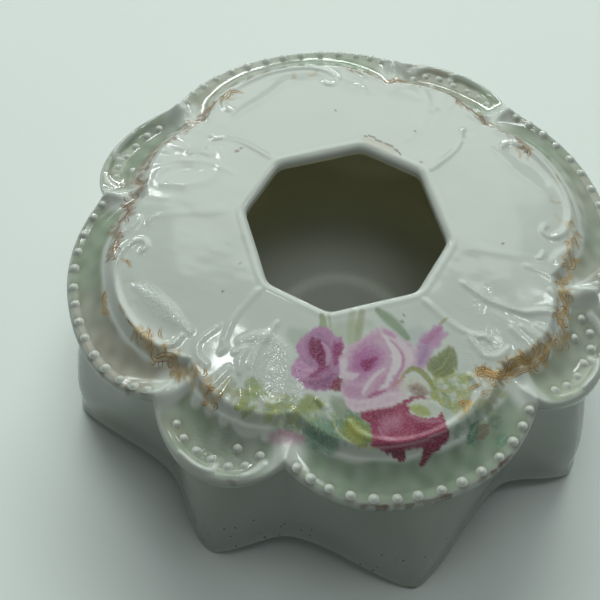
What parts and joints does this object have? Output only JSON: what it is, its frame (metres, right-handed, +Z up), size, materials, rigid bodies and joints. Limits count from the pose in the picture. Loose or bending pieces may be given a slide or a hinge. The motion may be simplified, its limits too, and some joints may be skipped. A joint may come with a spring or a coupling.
{
  "type": "hair receiver",
  "caption": "Lobed porcelain dressing table pot on scalloped feet, with a lift-off domed lid pierced by an octagonal finger hole and edged with small moulded beads.",
  "frame": {"origin": "on the table, under the centre of the finger hole", "axes": "+Z up; -Y towards the big lobe with the rose spray, which is the front; +X to the right seen from the front"},
  "size_m": [0.128, 0.128, 0.0526],
  "materials": {
    "white_glaze": "glossy clear glaze over white porcelain, a few dark pinholes",
    "decorated_glaze": "glossy clear glaze over white porcelain, tinted green and beige edge, rose spray, worn gold line"
  },
  "bodies": {
    "bowl": {"bowl": "white_glaze"},
    "lid": {"lid": "decorated_glaze"}
  },
  "joints": [
    {"name": "lid_lift", "type": "slide", "parent": "bowl", "child": "lid", "axis": [0, 0, 1], "range_m": [0, 0.06]}
  ]
}
